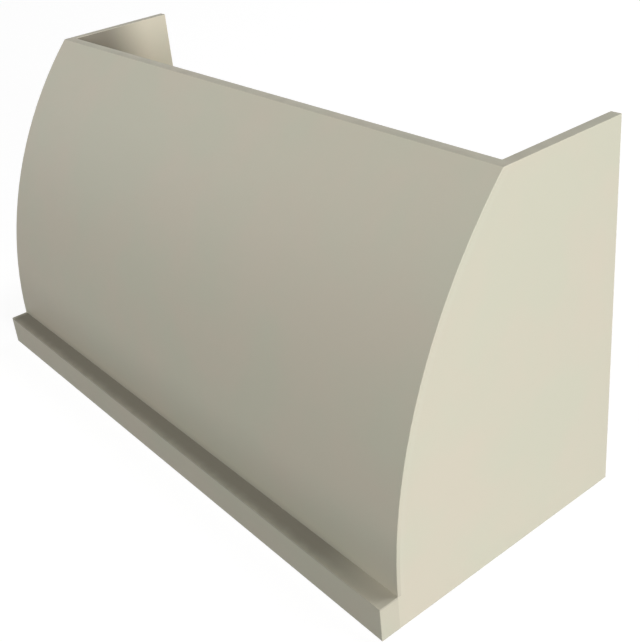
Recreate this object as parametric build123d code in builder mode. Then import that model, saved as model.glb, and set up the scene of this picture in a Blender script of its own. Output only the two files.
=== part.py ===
from build123d import *
import os
from math import asin, cos, sin

# A curved wooden range hood cover, 48 in wide: two shaped side panels, a front laminated from two
# bent sheets, a square ledge along its foot, and the framing inside that stiffens the front, hangs
# the cover on the wall and carries the liner.
# Millimetres. +X is to the right, +Y towards the wall and +Z up. The origin is the centre of the
# underside of the whole cover, so the wall is the plane y = hood_depth / 2.

# Overall size
hood_width = 1219.2
hood_depth = 508.0
hood_height = 635.0

# Curved front: one arc that starts upright on the ledge and leans back to the top
curve_radius = 835.0
outer_skin_thickness = 6.35
inner_skin_thickness = 6.35

# Side panels, and the ledge with the sill behind it
panel_thickness = 19.05
ledge_height = 60.3
ledge_projection = 34.9
sill_thickness = 19.05
sill_margin = 6.0
edge_radius = 1.0
board_edge_radius = 1.5

# Ribs and stringers behind the front
rib_thickness = 19.05
rib_depth = 50.0
stringer_thickness = 19.05
stringer_width = 60.0
upper_stringer_drop = 30.0
notch_clearance = 0.1

# Glue blocks in the corner of the front and the sill
glue_block_leg = 25.0
glue_block_length = 80.0

# Rails on the wall
rail_thickness = 19.05
upper_rail_height = 90.0
upper_rail_drop = 140.0
lower_rail_rise = 32.0
wall_hole_spacing = 406.4
wall_hole_radius = 2.75
wall_hole_margin = 60.0

# Cleats that carry the liner, and the two that carry the upper rail
cleat_thickness = 19.05
cleat_height = 45.0
rail_cleat_depth = 38.0
liner_hole_radius = 1.75
liner_hole_depth = 25.0
liner_hole_spacing = 240.0

# Countersunk wood screws: a 90 degree head, a plain shank and a cross recess
screw_radius = 2.0
screw_head_radius = 4.0
screw_head_angle = 90.0
screw_point = 4.0
screw_cover = 6.0
screw_bite = 26.0
screw_clearance = 0.05
recess_width = 0.9
recess_span = 4.4
recess_depth = 1.4

# Places of the screws
cleat_screw_spacing = 100.0
rear_cleat_screw_spacing = 250.0
cleat_screw_margin = 35.0
cleat_end_screw_spacing = 24.0
rail_cleat_screw_spacing = 18.0
rail_screw_spacing = 50.0
foot_screw_spacing = 24.0

# Dowels
dowel_radius = 4.0
dowel_cover = 7.0
dowel_clearance = 0.05
dowel_end_gap = 0.5
stringer_dowel_spacing = 32.0
sill_dowel_spacing = 50.0
ledge_dowel_spacing = 150.0
ledge_dowel_margin = 40.0

# Planes and radii that follow from the sizes
half_width = hood_width / 2
inner_half = half_width - panel_thickness
wall_y = hood_depth / 2
ledge_y = -hood_depth / 2
face_y = ledge_y + ledge_projection
curve_centre_y = face_y + curve_radius
curve_centre = Vector(0, curve_centre_y, ledge_height)
glue_radius = curve_radius - outer_skin_thickness
frame_radius = glue_radius - inner_skin_thickness
stringer_inner_radius = frame_radius - stringer_thickness
stringer_middle_radius = frame_radius - stringer_thickness / 2
rib_inner_radius = frame_radius - rib_depth
sill_rear_y = curve_centre_y - rib_inner_radius + sill_margin
sill_z = ledge_height - sill_thickness
cleat_top = sill_z + cleat_height
rail_front_y = wall_y - rail_thickness
rear_cleat_face_y = rail_front_y - cleat_thickness
cleat_face_x = inner_half - cleat_thickness
cleat_middle_x = inner_half - cleat_thickness / 2
sides = {"left": -1, "right": 1}


def curve_point(radius, angle):
    """The (y, z) point of the arc of this radius, at this angle above the ledge's top."""
    return (curve_centre_y - radius * cos(angle), ledge_height + radius * sin(angle))


def angle_at(radius, height):
    """The angle at which the arc of this radius reaches this height."""
    return asin((height - ledge_height) / radius)


def curve_arc(radius, low, high):
    """The arc of this radius between two angles, in the line that is open."""
    middle = (low + high) / 2
    return ThreePointArc(curve_point(radius, low), curve_point(radius, middle), curve_point(radius, high))


def curved_strip(outer_radius, inner_radius, outer_span, inner_span, mode=Mode.ADD):
    """The face between two arcs, each over its own span of angles, in the sketch that is open."""
    with BuildLine() as outline:
        outer_arc = curve_arc(outer_radius, *outer_span)
        inner_arc = curve_arc(inner_radius, *inner_span)
        Line(outer_arc @ 0, inner_arc @ 0)
        Line(outer_arc @ 1, inner_arc @ 1)
    make_face(outline.edges(), mode=mode)


def distance_from_centre(edge):
    """How far the middle of an edge lies from the centre of the front's arcs."""
    return (edge.center() - curve_centre).length


def board(x_span, y_span, z_span):
    """A square-edged board between three pairs of limits, in the part that is open."""
    (left, right), (front, back), (low, high) = x_span, y_span, z_span
    with Locations(((left + right) / 2, (front + back) / 2, (low + high) / 2)):
        Box(right - left, back - front, high - low)


def row(count, spacing):
    """Evenly spaced places about zero."""
    return [(i - (count - 1) / 2) * spacing for i in range(count)]


def row_within(length, spacing, margin):
    """As many evenly spaced places about zero as a length takes between its margins."""
    return row(int((length - 2 * margin) // spacing) + 1, spacing)


def facing(points, outward):
    """Locations at these points, each with its local Z along outward."""
    return [Plane(origin=point, z_dir=outward).location for point in points]


def bore_for_screws(length, places):
    """Countersunk holes for screws whose heads lie at these places, in the part that is open."""
    with Locations(*places):
        CounterSinkHole(
            screw_radius + screw_clearance,
            screw_head_radius + screw_clearance,
            length + screw_clearance,
            screw_head_angle,
        )


def bore_for_dowels(places):
    """Holes for dowels whose middles lie at these places, in the part that is open."""
    with Locations(*places):
        Cylinder(
            dowel_radius + dowel_clearance,
            dowel_length + 2 * dowel_end_gap,
            mode=Mode.SUBTRACT,
        )


def write_piece(name, piece):
    """Labels a finished piece and writes it to a file of the same name."""
    piece.part.label = name
    export_step(piece.part, f"parts/{name}.step")


# Angles of the stringers: the upper one just below the rim, the middle one halfway down from it
rim_angle = angle_at(frame_radius, hood_height)
stringer_reach = stringer_width / 2 / frame_radius
notch_reach = stringer_reach + notch_clearance / frame_radius
upper_stringer_angle = rim_angle - upper_stringer_drop / frame_radius - stringer_reach
stringer_angles = {"middle": upper_stringer_angle / 2, "upper": upper_stringer_angle}
rib_top_angle = upper_stringer_angle + stringer_reach

# Heights of the rails
upper_rail_top = hood_height - upper_rail_drop
upper_rail_span = (upper_rail_top - upper_rail_height, upper_rail_top)
upper_rail_z = upper_rail_top - upper_rail_height / 2
lower_rail_span = (0, cleat_top + lower_rail_rise)
lower_hole_z = cleat_top + lower_rail_rise / 2
cleat_middle_z = (sill_z + cleat_top) / 2

# Lengths of the fasteners: what each goes through, and how far it goes into the next piece
side_cleat_screw_length = cleat_thickness + panel_thickness - screw_cover
rear_cleat_screw_length = cleat_thickness + rail_thickness - screw_cover
stringer_screw_length = rib_depth - screw_cover
rail_screw_length = rail_thickness + screw_bite
foot_screw_length = sill_thickness + screw_bite
dowel_length = 2 * (panel_thickness - dowel_cover)

# Ribs stand at even distances between the side panels
rib_names = ["left_rib", "centre_rib", "right_rib"]
bay_width = 2 * inner_half / (len(rib_names) + 1)
rib_xs = row(len(rib_names), bay_width)
bay_xs = row(len(rib_names) + 1, bay_width)

# Screws up through the sill into the feet of the ribs
foot_y = curve_centre_y - frame_radius + rib_depth / 2
foot_points = [(x, foot_y + dy, sill_z) for x in rib_xs for dy in row(2, foot_screw_spacing)]
foot_places = facing(foot_points, (0, 0, -1))

# Screws from the ribs' inner edges into the stringers, square to the arc
stringer_screw_places = []
for angle in stringer_angles.values():
    head_y, head_z = curve_point(rib_inner_radius, angle)
    inward = (0, cos(angle), -sin(angle))
    stringer_screw_places += facing([(x, head_y, head_z) for x in rib_xs], inward)

# Screws through the side cleats into the side panels
liner_run = (sill_rear_y, rail_front_y)
liner_run_length = rail_front_y - sill_rear_y
liner_run_middle = (sill_rear_y + rail_front_y) / 2
side_cleat_ys = [
    liner_run_middle + dy for dy in row_within(liner_run_length, cleat_screw_spacing, cleat_screw_margin)
]
rail_cleat_y = rail_front_y - rail_cleat_depth / 2
rail_cleat_zs = [upper_rail_z + dz for dz in row(2, rail_cleat_screw_spacing)]
side_cleat_places = {}
rail_cleat_places = {}
for side, sign in sides.items():
    head_x = sign * cleat_face_x
    inward = (-sign, 0, 0)
    side_cleat_places[side] = facing([(head_x, y, cleat_middle_z) for y in side_cleat_ys], inward)
    rail_cleat_places[side] = facing([(head_x, rail_cleat_y, z) for z in rail_cleat_zs], inward)

# Screws through the rear cleat into the lower rail
rear_cleat_xs = row_within(2 * cleat_face_x, rear_cleat_screw_spacing, cleat_screw_margin)
rear_cleat_points = [(x, rear_cleat_face_y, cleat_middle_z) for x in rear_cleat_xs]
rear_cleat_places = facing(rear_cleat_points, (0, -1, 0))


def rail_end_places(middle_z, spacing):
    """Two screw heads at each end of a rail, on its wall side, over the ends of the cleats."""
    points = [
        (sign * cleat_middle_x, wall_y, middle_z + dz)
        for sign in sides.values()
        for dz in row(2, spacing)
    ]
    return facing(points, (0, 1, 0))


upper_rail_places = rail_end_places(upper_rail_z, rail_screw_spacing)
lower_rail_places = rail_end_places(cleat_middle_z, cleat_end_screw_spacing)

# Dowels: stringers and sill to the side panels, and the ledge to the sill and the side panels
stringer_dowel_reach = stringer_dowel_spacing / 2 / stringer_middle_radius
stringer_dowel_points = [
    (sign * inner_half, *curve_point(stringer_middle_radius, angle + reach))
    for sign in sides.values()
    for angle in stringer_angles.values()
    for reach in (-stringer_dowel_reach, stringer_dowel_reach)
]
stringer_dowel_places = facing(stringer_dowel_points, (1, 0, 0))

sill_middle_y = (face_y + sill_rear_y) / 2
sill_middle_z = ledge_height - sill_thickness / 2
sill_dowel_points = [
    (sign * inner_half, sill_middle_y + dy, sill_middle_z)
    for sign in sides.values()
    for dy in row(2, sill_dowel_spacing)
]
sill_dowel_places = facing(sill_dowel_points, (1, 0, 0))

panel_middle_x = half_width - panel_thickness / 2
ledge_dowel_xs = row_within(2 * inner_half, ledge_dowel_spacing, ledge_dowel_margin)
ledge_dowel_points = [(x, face_y, sill_middle_z) for x in ledge_dowel_xs]
ledge_dowel_points += [(sign * panel_middle_x, face_y, sill_z / 2) for sign in sides.values()]
ledge_dowel_places = facing(ledge_dowel_points, (0, 1, 0))

os.makedirs("parts", exist_ok=True)

# Side panels: the whole outline behind the skins and the ledge
for side, sign in sides.items():
    with BuildPart() as side_panel:
        with BuildSketch(Plane.YZ.offset(sign * panel_middle_x)):
            with BuildLine():
                front_arc = curve_arc(frame_radius, 0, rim_angle)
                Polyline(
                    front_arc @ 0,
                    (face_y, ledge_height),
                    (face_y, 0),
                    (wall_y, 0),
                    (wall_y, hood_height),
                    front_arc @ 1,
                )
            make_face()
        extrude(amount=panel_thickness / 2, both=True)
        level_edges = side_panel.edges().filter_by(Axis.Y).group_by(Axis.Z)
        rear_edges = side_panel.edges().filter_by(Axis.Z).group_by(Axis.Y)[-1]
        fillet(level_edges[0] + level_edges[-1] + rear_edges, edge_radius)
        bore_for_screws(side_cleat_screw_length, side_cleat_places[side] + rail_cleat_places[side])
        bore_for_dowels(stringer_dowel_places + sill_dowel_places + ledge_dowel_places)
    write_piece(f"{side}_side_panel", side_panel)

# Front skins: two sheets bent over the side panels and ribs, glued face to face and cut level on top
with BuildPart() as outer_front_skin:
    with BuildSketch(Plane.YZ):
        outer_span = (0, angle_at(curve_radius, hood_height))
        curved_strip(curve_radius, glue_radius, outer_span, (0, angle_at(glue_radius, hood_height)))
    extrude(amount=half_width, both=True)
    end_faces = outer_front_skin.faces().filter_by(Axis.X)
    end_tops = end_faces.edges().filter_by(Axis.Y)
    end_arcs = end_faces.edges().filter_by(GeomType.CIRCLE).group_by(SortBy.RADIUS)[-1]
    rim_front = outer_front_skin.edges().filter_by(Axis.X).group_by(Axis.Z)[-1].sort_by(Axis.Y)[0]
    fillet(end_tops.group_by(Axis.Z)[-1] + end_arcs + [rim_front], edge_radius)
write_piece("outer_front_skin", outer_front_skin)

with BuildPart() as inner_front_skin:
    with BuildSketch(Plane.YZ):
        outer_span = (0, angle_at(glue_radius, hood_height))
        curved_strip(glue_radius, frame_radius, outer_span, (0, rim_angle))
    extrude(amount=half_width, both=True)
    end_tops = inner_front_skin.edges().filter_by(Axis.Y).group_by(Axis.Z)[-1]
    fillet(end_tops, edge_radius)
write_piece("inner_front_skin", inner_front_skin)

# Ledge: a solid rail across the front, proud of the skins by its own thickness
with BuildPart() as ledge_rail:
    board((-half_width, half_width), (ledge_y, face_y), (0, ledge_height))
    front_edges, side_edges = ledge_rail.edges().group_by(Axis.Y)[:2]
    fillet(front_edges + side_edges, edge_radius)
    bore_for_dowels(ledge_dowel_places)
write_piece("ledge_rail", ledge_rail)

# Sill: behind the ledge, flush with its top, for the skins and ribs to stand on
with BuildPart() as front_sill:
    board((-inner_half, inner_half), (face_y, sill_rear_y), (sill_z, ledge_height))
    fillet(front_sill.edges().filter_by(Axis.X).group_by(Axis.Y)[-1], board_edge_radius)
    bore_for_screws(foot_screw_length, foot_places)
    bore_for_dowels(sill_dowel_places + ledge_dowel_places)
write_piece("front_sill", front_sill)

# Ribs: curved formers from the sill to the upper stringer, notched round both stringers
rib_span = (0, rib_top_angle)
for name, x in zip(rib_names, rib_xs):
    with BuildPart() as rib:
        with BuildSketch(Plane.YZ.offset(x)):
            curved_strip(frame_radius, rib_inner_radius, rib_span, rib_span)
            for angle in stringer_angles.values():
                notch_span = (angle - notch_reach, angle + notch_reach)
                notch_radius = stringer_inner_radius - notch_clearance
                curved_strip(frame_radius, notch_radius, notch_span, notch_span, Mode.SUBTRACT)
        extrude(amount=rib_thickness / 2, both=True)
        fillet(rib.edges().filter_by(GeomType.CIRCLE).group_by(SortBy.RADIUS)[0], board_edge_radius)
        bore_for_screws(foot_screw_length, foot_places)
        bore_for_screws(stringer_screw_length, stringer_screw_places)
    write_piece(name, rib)

# Stringers: slats planed to the arc, from side panel to side panel
for level, angle in stringer_angles.items():
    with BuildPart() as stringer:
        with BuildSketch(Plane.YZ):
            stringer_span = (angle - stringer_reach, angle + stringer_reach)
            curved_strip(frame_radius, stringer_inner_radius, stringer_span, stringer_span)
        extrude(amount=inner_half, both=True)
        fillet(stringer.edges().filter_by(Axis.X).group_by(distance_from_centre)[0], board_edge_radius)
        bore_for_screws(stringer_screw_length, stringer_screw_places)
        bore_for_dowels(stringer_dowel_places)
    write_piece(f"{level}_stringer", stringer)

# Glue blocks: one in the middle of each bay, hollowed on the side of the skin
with BuildPart() as front_glue_blocks:
    for x in bay_xs:
        with BuildSketch(Plane.YZ.offset(x)):
            with BuildLine():
                block_arc = curve_arc(frame_radius, 0, glue_block_leg / frame_radius)
                block_rear = (curve_centre_y - frame_radius + glue_block_leg, ledge_height)
                Polyline(block_arc @ 0, block_rear, block_arc @ 1)
            make_face()
        extrude(amount=glue_block_length / 2, both=True)
write_piece("front_glue_blocks", front_glue_blocks)

# Wall rails: between the side panels and flush with their back edges
wall_hole_xs = row_within(2 * inner_half, wall_hole_spacing, wall_hole_margin)

with BuildPart() as upper_wall_rail:
    board((-inner_half, inner_half), (rail_front_y, wall_y), upper_rail_span)
    fillet(upper_wall_rail.edges().filter_by(Axis.X), board_edge_radius)
    bore_for_screws(rail_screw_length, upper_rail_places)
    with Locations(*facing([(x, wall_y, upper_rail_z) for x in wall_hole_xs], (0, 1, 0))):
        Hole(wall_hole_radius)
write_piece("upper_wall_rail", upper_wall_rail)

with BuildPart() as lower_wall_rail:
    board((-inner_half, inner_half), (rail_front_y, wall_y), lower_rail_span)
    fillet(lower_wall_rail.edges().filter_by(Axis.X), board_edge_radius)
    bore_for_screws(rail_screw_length, lower_rail_places)
    bore_for_screws(rear_cleat_screw_length, rear_cleat_places)
    with Locations(*facing([(x, wall_y, lower_hole_z) for x in wall_hole_xs], (0, 1, 0))):
        Hole(wall_hole_radius)
write_piece("lower_wall_rail", lower_wall_rail)

# Cleats on the side panels: one beside the liner's recess, one at the end of the upper rail
liner_hole_ys = [liner_run_middle + dy for dy in row(2, liner_hole_spacing)]
for side, sign in sides.items():
    cleat_x_span = sorted([sign * cleat_face_x, sign * inner_half])
    liner_hole_points = [(sign * cleat_middle_x, y, sill_z) for y in liner_hole_ys]

    with BuildPart() as liner_cleat:
        board(cleat_x_span, liner_run, (sill_z, cleat_top))
        fillet(liner_cleat.edges().filter_by(Axis.Y), board_edge_radius)
        bore_for_screws(side_cleat_screw_length, side_cleat_places[side])
        bore_for_screws(rail_screw_length, lower_rail_places)
        with Locations(*facing(liner_hole_points, (0, 0, -1))):
            Hole(liner_hole_radius, liner_hole_depth)
    write_piece(f"{side}_liner_cleat", liner_cleat)

    with BuildPart() as rail_cleat:
        board(cleat_x_span, (rail_front_y - rail_cleat_depth, rail_front_y), upper_rail_span)
        fillet(rail_cleat.edges().filter_by(Axis.Z), board_edge_radius)
        bore_for_screws(side_cleat_screw_length, rail_cleat_places[side])
        bore_for_screws(rail_screw_length, upper_rail_places)
    write_piece(f"{side}_rail_cleat", rail_cleat)

# Rear cleat: between the side cleats, on the lower rail
with BuildPart() as rear_liner_cleat:
    board((-cleat_face_x, cleat_face_x), (rear_cleat_face_y, rail_front_y), (sill_z, cleat_top))
    fillet(rear_liner_cleat.edges().filter_by(Axis.X), board_edge_radius)
    bore_for_screws(rear_cleat_screw_length, rear_cleat_places)
write_piece("rear_liner_cleat", rear_liner_cleat)

# Screws
screw_sets = {
    "left_cleat_screws": (side_cleat_screw_length, side_cleat_places["left"]),
    "right_cleat_screws": (side_cleat_screw_length, side_cleat_places["right"]),
    "rail_cleat_screws": (side_cleat_screw_length, rail_cleat_places["left"] + rail_cleat_places["right"]),
    "rear_cleat_screws": (rear_cleat_screw_length, rear_cleat_places),
    "upper_rail_screws": (rail_screw_length, upper_rail_places),
    "lower_rail_screws": (rail_screw_length, lower_rail_places),
    "rib_foot_screws": (foot_screw_length, foot_places),
    "rib_stringer_screws": (stringer_screw_length, stringer_screw_places),
}
for name, (length, places) in screw_sets.items():
    with BuildPart() as screw:
        with BuildSketch(Plane.XZ):
            with BuildLine():
                Polyline(
                    (0, 0),
                    (screw_head_radius, 0),
                    (screw_radius, screw_radius - screw_head_radius),
                    (screw_radius, screw_point - length),
                    (0, -length),
                    close=True,
                )
            make_face()
        revolve(axis=Axis.Z)
        with BuildSketch(Plane.XY):
            Rectangle(recess_span, recess_width)
            Rectangle(recess_width, recess_span)
        extrude(amount=-recess_depth, mode=Mode.SUBTRACT)
    with BuildPart() as screws:
        with Locations(*places):
            add(screw.part)
    write_piece(name, screws)

# Dowels
dowel_sets = {
    "stringer_dowels": stringer_dowel_places,
    "sill_dowels": sill_dowel_places,
    "ledge_dowels": ledge_dowel_places,
}
for name, places in dowel_sets.items():
    with BuildPart() as dowels:
        with Locations(*places):
            Cylinder(dowel_radius, dowel_length)
    write_piece(name, dowels)
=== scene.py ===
from math import cos, pi, radians, sin

import bpy
import numpy as np
from bpy.props import FloatProperty, FloatVectorProperty, PointerProperty
from mathutils import Euler, Matrix, Vector
from numpy.linalg import norm


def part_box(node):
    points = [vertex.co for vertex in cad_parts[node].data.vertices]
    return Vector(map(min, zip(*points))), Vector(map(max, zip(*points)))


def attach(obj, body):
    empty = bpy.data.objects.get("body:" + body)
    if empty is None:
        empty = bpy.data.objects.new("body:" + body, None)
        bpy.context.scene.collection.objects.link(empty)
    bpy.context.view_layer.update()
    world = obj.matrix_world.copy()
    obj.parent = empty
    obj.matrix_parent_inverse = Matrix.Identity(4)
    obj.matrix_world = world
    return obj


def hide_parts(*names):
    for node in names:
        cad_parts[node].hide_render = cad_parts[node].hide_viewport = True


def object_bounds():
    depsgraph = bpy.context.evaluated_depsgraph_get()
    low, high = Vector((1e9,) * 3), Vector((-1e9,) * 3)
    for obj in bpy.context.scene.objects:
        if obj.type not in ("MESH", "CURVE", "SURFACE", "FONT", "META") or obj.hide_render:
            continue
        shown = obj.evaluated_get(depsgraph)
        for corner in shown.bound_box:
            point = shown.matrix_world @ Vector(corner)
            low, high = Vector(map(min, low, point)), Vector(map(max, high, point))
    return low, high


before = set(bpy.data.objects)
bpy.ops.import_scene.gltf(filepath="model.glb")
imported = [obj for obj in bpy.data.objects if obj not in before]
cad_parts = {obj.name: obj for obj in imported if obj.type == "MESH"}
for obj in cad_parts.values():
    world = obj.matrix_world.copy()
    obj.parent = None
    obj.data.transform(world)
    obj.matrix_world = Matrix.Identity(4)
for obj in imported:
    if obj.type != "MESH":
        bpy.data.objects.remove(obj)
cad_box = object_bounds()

bl_info = {
    "name": "Curved Range Hood Cover",
    "version": (1, 0, 0),
    "blender": (4, 5, 0),
    "location": "3D View > Sidebar > Hood Cover",
    "description": "Finishes a curved wooden range hood cover: paint, raw wood and fasteners",
    "category": "Object",
}

# The picture that the camera frames, in pixels
PHOTO_WIDTH = 640
PHOTO_HEIGHT = 642

MILLIMETRE = 0.001

# Sizes read from the frame, in metres
HALF_WIDTH, WALL_Y, TOP_Z = cad_box[1]
PANEL_INNER_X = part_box("right_side_panel")[0].x

PAINTED_PANELS = ["left_side_panel", "right_side_panel"]
PAINTED_FRONT = ["outer_front_skin", "ledge_rail"]
INNER_SKIN = "inner_front_skin"
RIBS = ["left_rib", "centre_rib", "right_rib"]

SCREWS = [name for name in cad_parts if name.endswith("_screws")]
DOWELS = [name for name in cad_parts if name.endswith("_dowels")]

# Which way the grain runs in each board
BOARD_GRAIN = {
    "front_sill": "X",
    "middle_stringer": "X",
    "upper_stringer": "X",
    "front_glue_blocks": "X",
    "upper_wall_rail": "X",
    "lower_wall_rail": "X",
    "rear_liner_cleat": "X",
    "left_liner_cleat": "Y",
    "right_liner_cleat": "Y",
    "left_rail_cleat": "Z",
    "right_rail_cleat": "Z",
}

GOLDEN_ANGLE = 2.39996

# Screws, in millimetres: the cross recess from its floor up as half width, half span and height, the head
# from its top down as radius and height, and the shank and thread
RING_POINTS = 24
SHANK_RADIUS = 1.94
RECESS = [(0.3, 0.7, -1.9), (0.42, 1.2, -1.7), (0.62, 2.2, -0.25), (0.7, 2.35, -0.12)]
HEAD = [(3.6, -0.12), (3.78, -0.17), (3.8, -0.24), (2.0, -2.03), (SHANK_RADIUS, -2.3)]
THREAD_PITCH = 2.8
ROWS_PER_PITCH = 8
CORE_RADIUS = 1.35
RIDGE_HEIGHT = 0.62
POINT_LENGTH = 5.0
FIRST_ROW_GAP = 0.3
LAST_ROW_GAP = 0.05

# The share of a screw's length above its thread, and the share of the pitch that a flank of the ridge takes
PLAIN_SHARE = 0.38
FLANK_SHARE = 0.22

# Dowels, in millimetres, and how much of their radius is left at the ends of the chamfers
FLUTES = 18
FLUTE_POINTS = 4
DOWEL_RADIUS = 3.86
FLUTE_DEPTH = 0.12
CHAMFER = 0.8
CHAMFERED_SHARE = 0.8

# Beads of glue, with their waves as shares of the radius, lengths in metres and turns from bead to bead
BEAD_RADIUS = 1.5 * MILLIMETRE
BEAD_SINK = 0.15 * MILLIMETRE
BEAD_ROWS = 64
BEAD_POINTS = 5
BEAD_MARGIN = 4.0 * MILLIMETRE
BEAD_TAPER = 12 * MILLIMETRE
BEAD_TIP_SHARE = 0.15
BEAD_WAVES = ((0.32, 0.083, 1.0), (0.2, 0.031, 2.3), (0.12, 0.0127, 4.1))
STRINGER_BEAD_STEP = 1.7
BLOCK_BEAD_STEP = 2.9

# How near counts as touching, and how much the distances from a screw's tip to its rim may differ
TOUCH = 0.1 * MILLIMETRE
RIM_TOLERANCE = 0.01 * MILLIMETRE

# How weakly the matt paint mirrors its surroundings, where 0.5 is usual
MATT = {"Specular IOR Level": 0.25}

PAINT_ROUGHNESS = 0.5
PLY_ROUGHNESS = 0.72
VENEER_ROUGHNESS = 0.56

# Where paint meets bare wood, in millimetres: how far before an edge, how far it wanders and how soft it is
WALL_LINE = (0.4, 0.9, 0.15)
RIM_LINE = (9.0, 5.0, 4.0)
END_LINE = (1.0, 0.4, 0.2)

# How far inside a rib's faces its veneer starts, and from where on nothing else shows
FACE_START = 0.2 * MILLIMETRE
FACE_FULL = 0.05 * MILLIMETRE

# The painted shade over the ledge and in its corner with the front, where shadow falls: how far it reaches,
# how it thins out and clouds, how much of it reaches up the front, how steeply it falls off up there, and how
# much it roughens the paint
LEDGE_SHADE_REACH_OUT = 63 * MILLIMETRE
LEDGE_SHADE_REACH_UP = 40 * MILLIMETRE
LEDGE_SHADE_REACH_DOWN = 5 * MILLIMETRE
LEDGE_SHADE_FULL = 0.25
LEDGE_SHADE_CLOUDING = 0.16
LEDGE_SHADE_ON_FRONT = 0.4
LEDGE_SHADE_FRONT_START = 0.3 * MILLIMETRE
LEDGE_SHADE_FALL = 2.5
LEDGE_SHADE_ROUGHENING = 0.2

# Over what length that painted shade thins out towards each end of the ledge, and what is left of it there
LEDGE_SHADE_RIGHT_FADE = 170 * MILLIMETRE
LEDGE_SHADE_RIGHT_END = 0.45
LEDGE_SHADE_LEFT_FADE = 14 * MILLIMETRE
LEDGE_SHADE_LEFT_END = 0.5

# The thin painted shade over the ledge and the foot of the front, and the heights above the ledge where it
# fades
FOOT_SHADE = 0.12
FOOT_SHADE_FULL = 40 * MILLIMETRE
FOOT_SHADE_END = 130 * MILLIMETRE

# The painted shade inside on the side panels, in their upper corners behind the front: how far behind the
# front's top edge it starts to thin out and ends, and how far below the top it starts to fade and is gone
CORNER_SHADE_START = 60 * MILLIMETRE
CORNER_SHADE_END = 185 * MILLIMETRE
CORNER_SHADE_FULL = 80 * MILLIMETRE
CORNER_SHADE_DROP = 300 * MILLIMETRE

# How far below the top the painted shade on the top edges still lies
TOP_SHADE_DROP = 0.2 * MILLIMETRE

# Turns that bring each direction of the grain onto the pattern's X axis
GRAIN_TURNS = {
    "X": Euler((0.0, 0.0, 0.0)),
    "Y": Euler((0.0, 0.0, -pi / 2)),
    "Z": Euler((0.0, pi / 2, 0.0)),
}

# The heart that a board's rings lie around: its distance and the steps to farther ones, and from board to
# board its turn about the grain in radians and its shift along it in metres
HEART_DISTANCE = 45 * MILLIMETRE
HEART_STEP = 20 * MILLIMETRE
HEART_STEPS = 4
HEART_TURN = 2.4
HEART_SHIFT = 1.7


def display(red, green, blue):
    """The linear colour of three display values from 0 to 255."""
    share = np.array([red, green, blue]) / 255
    linear = np.where(share <= 0.04045, share / 12.92, ((share + 0.055) / 1.055) ** 2.4)
    return tuple(float(value) for value in linear)


ZINC_PALE = display(198, 200, 202)
ZINC_DARK = display(172, 173, 170)
GLUE_PALE = display(214, 190, 132)
GLUE_DARK = display(190, 158, 92)


# -------- node trees


class Tree:
    """A node tree, with a short call for each kind of node used here."""

    def __init__(self, tree):
        self.tree = tree

    def feed(self, socket, value):
        """Links a socket to an output, or sets its value; a colour gets its alpha."""
        if isinstance(value, bpy.types.NodeSocket):
            self.tree.links.new(value, socket)
        elif socket.type == "RGBA":
            socket.default_value = (*value[:3], 1.0)
        else:
            socket.default_value = value

    def node(self, kind, inputs=None, **settings):
        """Adds a node, makes its settings, then feeds its inputs by name or index."""
        node = self.tree.nodes.new(kind)
        for name, value in settings.items():
            setattr(node, name, value)
        for key, value in (inputs or {}).items():
            self.feed(node.inputs[key], value)
        return node

    def math(self, operation, *values, clamp=False):
        """One arithmetic step."""
        inputs = dict(enumerate(values))
        return self.node("ShaderNodeMath", inputs, operation=operation, use_clamp=clamp).outputs[0]

    def times(self, first, *others):
        """The product of these values."""
        for other in others:
            first = self.math("MULTIPLY", first, other)
        return first

    def minus(self, first, second):
        """The first value less the second."""
        return self.math("SUBTRACT", first, second)

    def scaled(self, value, factor, offset, clamp=False):
        """A value times a factor, plus an offset."""
        return self.math("MULTIPLY_ADD", value, factor, offset, clamp=clamp)

    def between(self, share, first, second):
        """The value that lies this share of the way from the first to the second."""
        return self.scaled(share, self.minus(second, first), first)

    def noise(self, vector, scale=1.0, detail=2.0):
        """Noise from 0 to 1, mostly near its middle."""
        inputs = {"Vector": vector, "Scale": scale, "Detail": detail}
        return self.node("ShaderNodeTexNoise", inputs).outputs[0]

    def streaks(self, vector, along, across, detail=2.0):
        """Noise drawn out along X: its scale along X, and its finer scale across."""
        factors = {0: vector, 1: (along, across, across)}
        drawn_out = self.node("ShaderNodeVectorMath", factors, operation="MULTIPLY").outputs[0]
        return self.noise(drawn_out, detail=detail)

    def chance(self, number):
        """A value from 0 to 1 of its own for each whole number."""
        return self.node("ShaderNodeTexWhiteNoise", {"W": number}, noise_dimensions="1D").outputs[0]

    def ramp(self, value, low, high, start=0.0, end=1.0, smooth=False):
        """Start up to low, end from high on, and a straight or smooth change between."""
        inputs = {"Value": value, "From Min": low, "From Max": high, "To Min": start, "To Max": end}
        kind = "SMOOTHSTEP" if smooth else "LINEAR"
        return self.node("ShaderNodeMapRange", inputs, interpolation_type=kind).outputs[0]

    def spread(self, noise, start, end):
        """Start to end as noise goes from 0.3 to 0.7, where nearly all of it lies."""
        return self.ramp(noise, 0.3, 0.7, start, end)

    def mix(self, factor, first, second, blend="MIX"):
        """Two colours mixed by a factor."""
        inputs = {0: factor, 6: first, 7: second}
        return self.node("ShaderNodeMix", inputs, data_type="RGBA", blend_type=blend).outputs[2]

    def parts(self, vector):
        """The X, Y and Z of a vector."""
        return self.node("ShaderNodeSeparateXYZ", {0: vector}).outputs


def new_group(name, values=(), colours=()):
    """A shader node group fed a vector, values and colours: its tree, the vector, and all inputs by name."""
    group = bpy.data.node_groups.new(name, "ShaderNodeTree")
    kinds = {"Vector": "Vector", **dict.fromkeys(values, "Float"), **dict.fromkeys(colours, "Color")}
    for socket_name, kind in kinds.items():
        group.interface.new_socket(socket_name, in_out="INPUT", socket_type=f"NodeSocket{kind}")
    tree = Tree(group)
    given = tree.node("NodeGroupInput").outputs
    return tree, given["Vector"], given


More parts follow.
